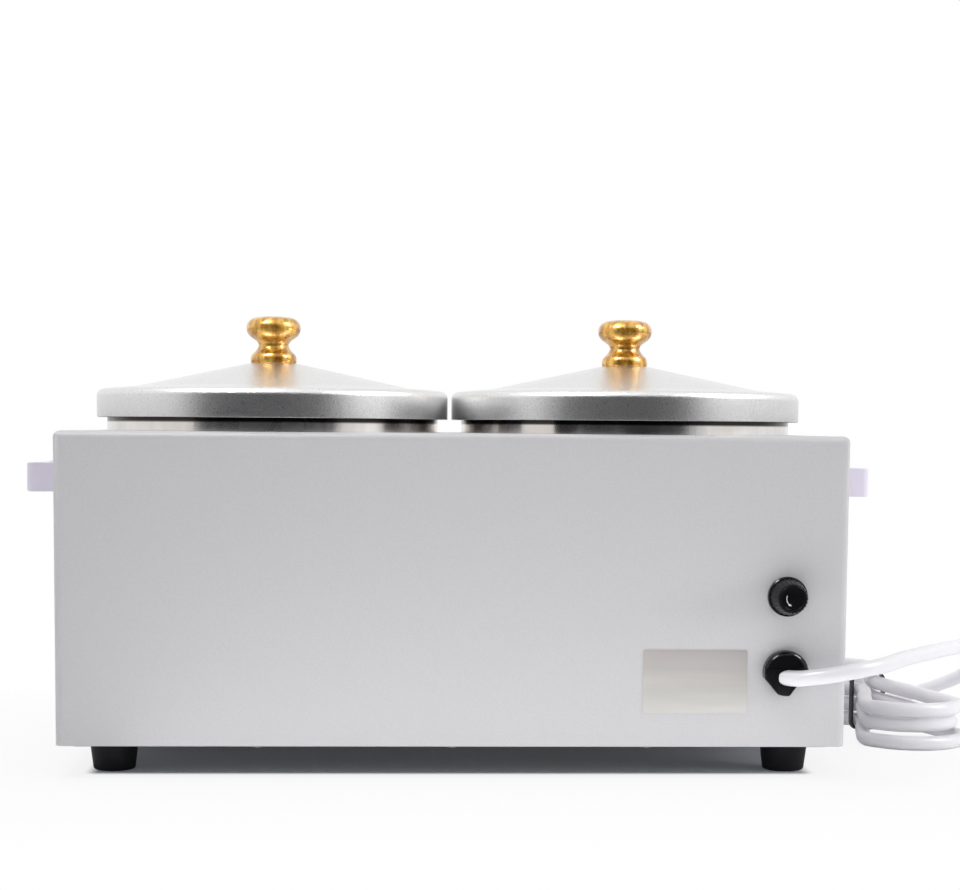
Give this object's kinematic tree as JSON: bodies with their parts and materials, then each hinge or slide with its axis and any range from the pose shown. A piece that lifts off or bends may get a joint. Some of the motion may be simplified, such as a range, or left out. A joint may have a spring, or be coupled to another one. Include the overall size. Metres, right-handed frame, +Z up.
{
  "type": "double wax warmer",
  "caption": "Free-standing electric wax warmer: a box-shaped metal case on feet with two lidded lift-out pots side by side, end handles, front dials, a fuse and a mains cord on the back.",
  "frame": {"origin": "on the floor under the middle of the case", "axes": "+X along the case towards the end without the cord, +Y out of the back with the fuse and the cord, +Z up; left and right are as seen from the front with the dials (-Y), so left is -X"},
  "size_m": [0.503, 0.2621, 0.2165],
  "materials": {
    "case_enamel": "fine powder coat, satin",
    "base_steel": "powder coat",
    "plated_steel": "zinc plated",
    "foot_rubber": "matt black",
    "well_aluminium": "spun and polished",
    "heater_steel": "plain",
    "felt": "fibre felt",
    "pot_aluminium": "spun",
    "lid_aluminium": "sand textured, satin",
    "knob_wood": "golden, lacquered, mottled",
    "handle_plastic": "moulded, slightly glossy",
    "thermostat_ceramic": "matt",
    "shaft_steel": "turned",
    "copper": "drawn",
    "dial_plastic": "moulded",
    "lamp_chrome": "polished",
    "lens_red": "clear moulded",
    "black_plastic": "moulded",
    "gloss_black": "polished black",
    "contact_brass": "plain",
    "fuse_glass": "clear",
    "cord_white": "smooth, slightly glossy",
    "block_plastic": "moulded",
    "lead_brown": "smooth",
    "lead_ivory": "smooth",
    "plate_silver": "satin",
    "tie_black": "smooth"
  },
  "bodies": {
    "warmer": {"housing": "case_enamel", "base_plate": "base_steel", "base_screws": "plated_steel", "foot_front_left": "foot_rubber", "foot_front_right": "foot_rubber", "foot_rear_left": "foot_rubber", "foot_rear_right": "foot_rubber", "foot_screws": "plated_steel", "foot_nuts": "plated_steel", "well_left": "well_aluminium", "well_right": "well_aluminium", "heater_band_left": "heater_steel", "heater_band_right": "heater_steel", "band_screws": "plated_steel", "insulation_left": "felt", "insulation_right": "felt", "handle_left": "handle_plastic", "handle_right": "handle_plastic", "handle_screws": "plated_steel", "thermostat_left": "thermostat_ceramic", "thermostat_right": "thermostat_ceramic", "thermostat_screws": "plated_steel", "thermostat_bulbs": "copper", "pilot_lamps": "lamp_chrome", "pilot_lens_left": "lens_red", "pilot_lens_right": "lens_red", "lamp_nuts": "black_plastic", "fuse_holder": "gloss_black", "fuse_nut": "black_plastic", "fuse_terminals": "contact_brass", "cord_bush": "gloss_black", "cord_bush_nut": "black_plastic", "cord_inlet": "cord_white", "terminal_block": "block_plastic", "terminal_screws": "contact_brass", "supply_leads": "lead_brown", "heater_leads": "lead_ivory", "rating_plate": "plate_silver", "cord": "cord_white", "cord_hank": "cord_white", "cord_tie": "tie_black", "plug": "cord_white", "plug_blades": "contact_brass"},
    "pot_left": {"pot_left": "pot_aluminium"},
    "pot_right": {"pot_right": "pot_aluminium"},
    "lid_left": {"lid_left": "lid_aluminium", "lid_knob_left": "knob_wood", "knob_screw_left": "plated_steel"},
    "lid_right": {"lid_right": "lid_aluminium", "lid_knob_right": "knob_wood", "knob_screw_right": "plated_steel"},
    "dial_left": {"dial_left": "dial_plastic", "thermostat_shaft_left": "shaft_steel"},
    "dial_right": {"dial_right": "dial_plastic", "thermostat_shaft_right": "shaft_steel"},
    "fuse": {"fuse_glass": "fuse_glass", "fuse_ends": "plated_steel"},
    "fuse_cap": {"fuse_cap": "gloss_black"}
  },
  "joints": [
    {"name": "pot_left_lift", "type": "slide", "parent": "warmer", "child": "pot_left", "axis": [0, 0, 1], "range_m": [0, 0.12]},
    {"name": "pot_right_lift", "type": "slide", "parent": "warmer", "child": "pot_right", "axis": [0, 0, 1], "range_m": [0, 0.12]},
    {"name": "lid_left_lift", "type": "slide", "parent": "pot_left", "child": "lid_left", "axis": [0, 0, 1], "range_m": [0, 0.08]},
    {"name": "lid_right_lift", "type": "slide", "parent": "pot_right", "child": "lid_right", "axis": [0, 0, 1], "range_m": [0, 0.08]},
    {"name": "dial_left_turn", "type": "hinge", "parent": "warmer", "child": "dial_left", "pos_m": [-0.088, -0.093, 0.05], "axis": [0, 1, 0], "range_deg": [0, 270]},
    {"name": "dial_right_turn", "type": "hinge", "parent": "warmer", "child": "dial_right", "pos_m": [0.088, -0.093, 0.05], "axis": [0, 1, 0], "range_deg": [0, 270]},
    {"name": "fuse_draw", "type": "slide", "parent": "warmer", "child": "fuse", "axis": [0, 1, 0], "range_m": [0, 0.04]},
    {"name": "fuse_cap_turn", "type": "hinge", "parent": "fuse", "child": "fuse_cap", "pos_m": [-0.1544, 0.093, 0.0854], "axis": [0, 1, 0], "range_deg": [0, 90]}
  ]
}
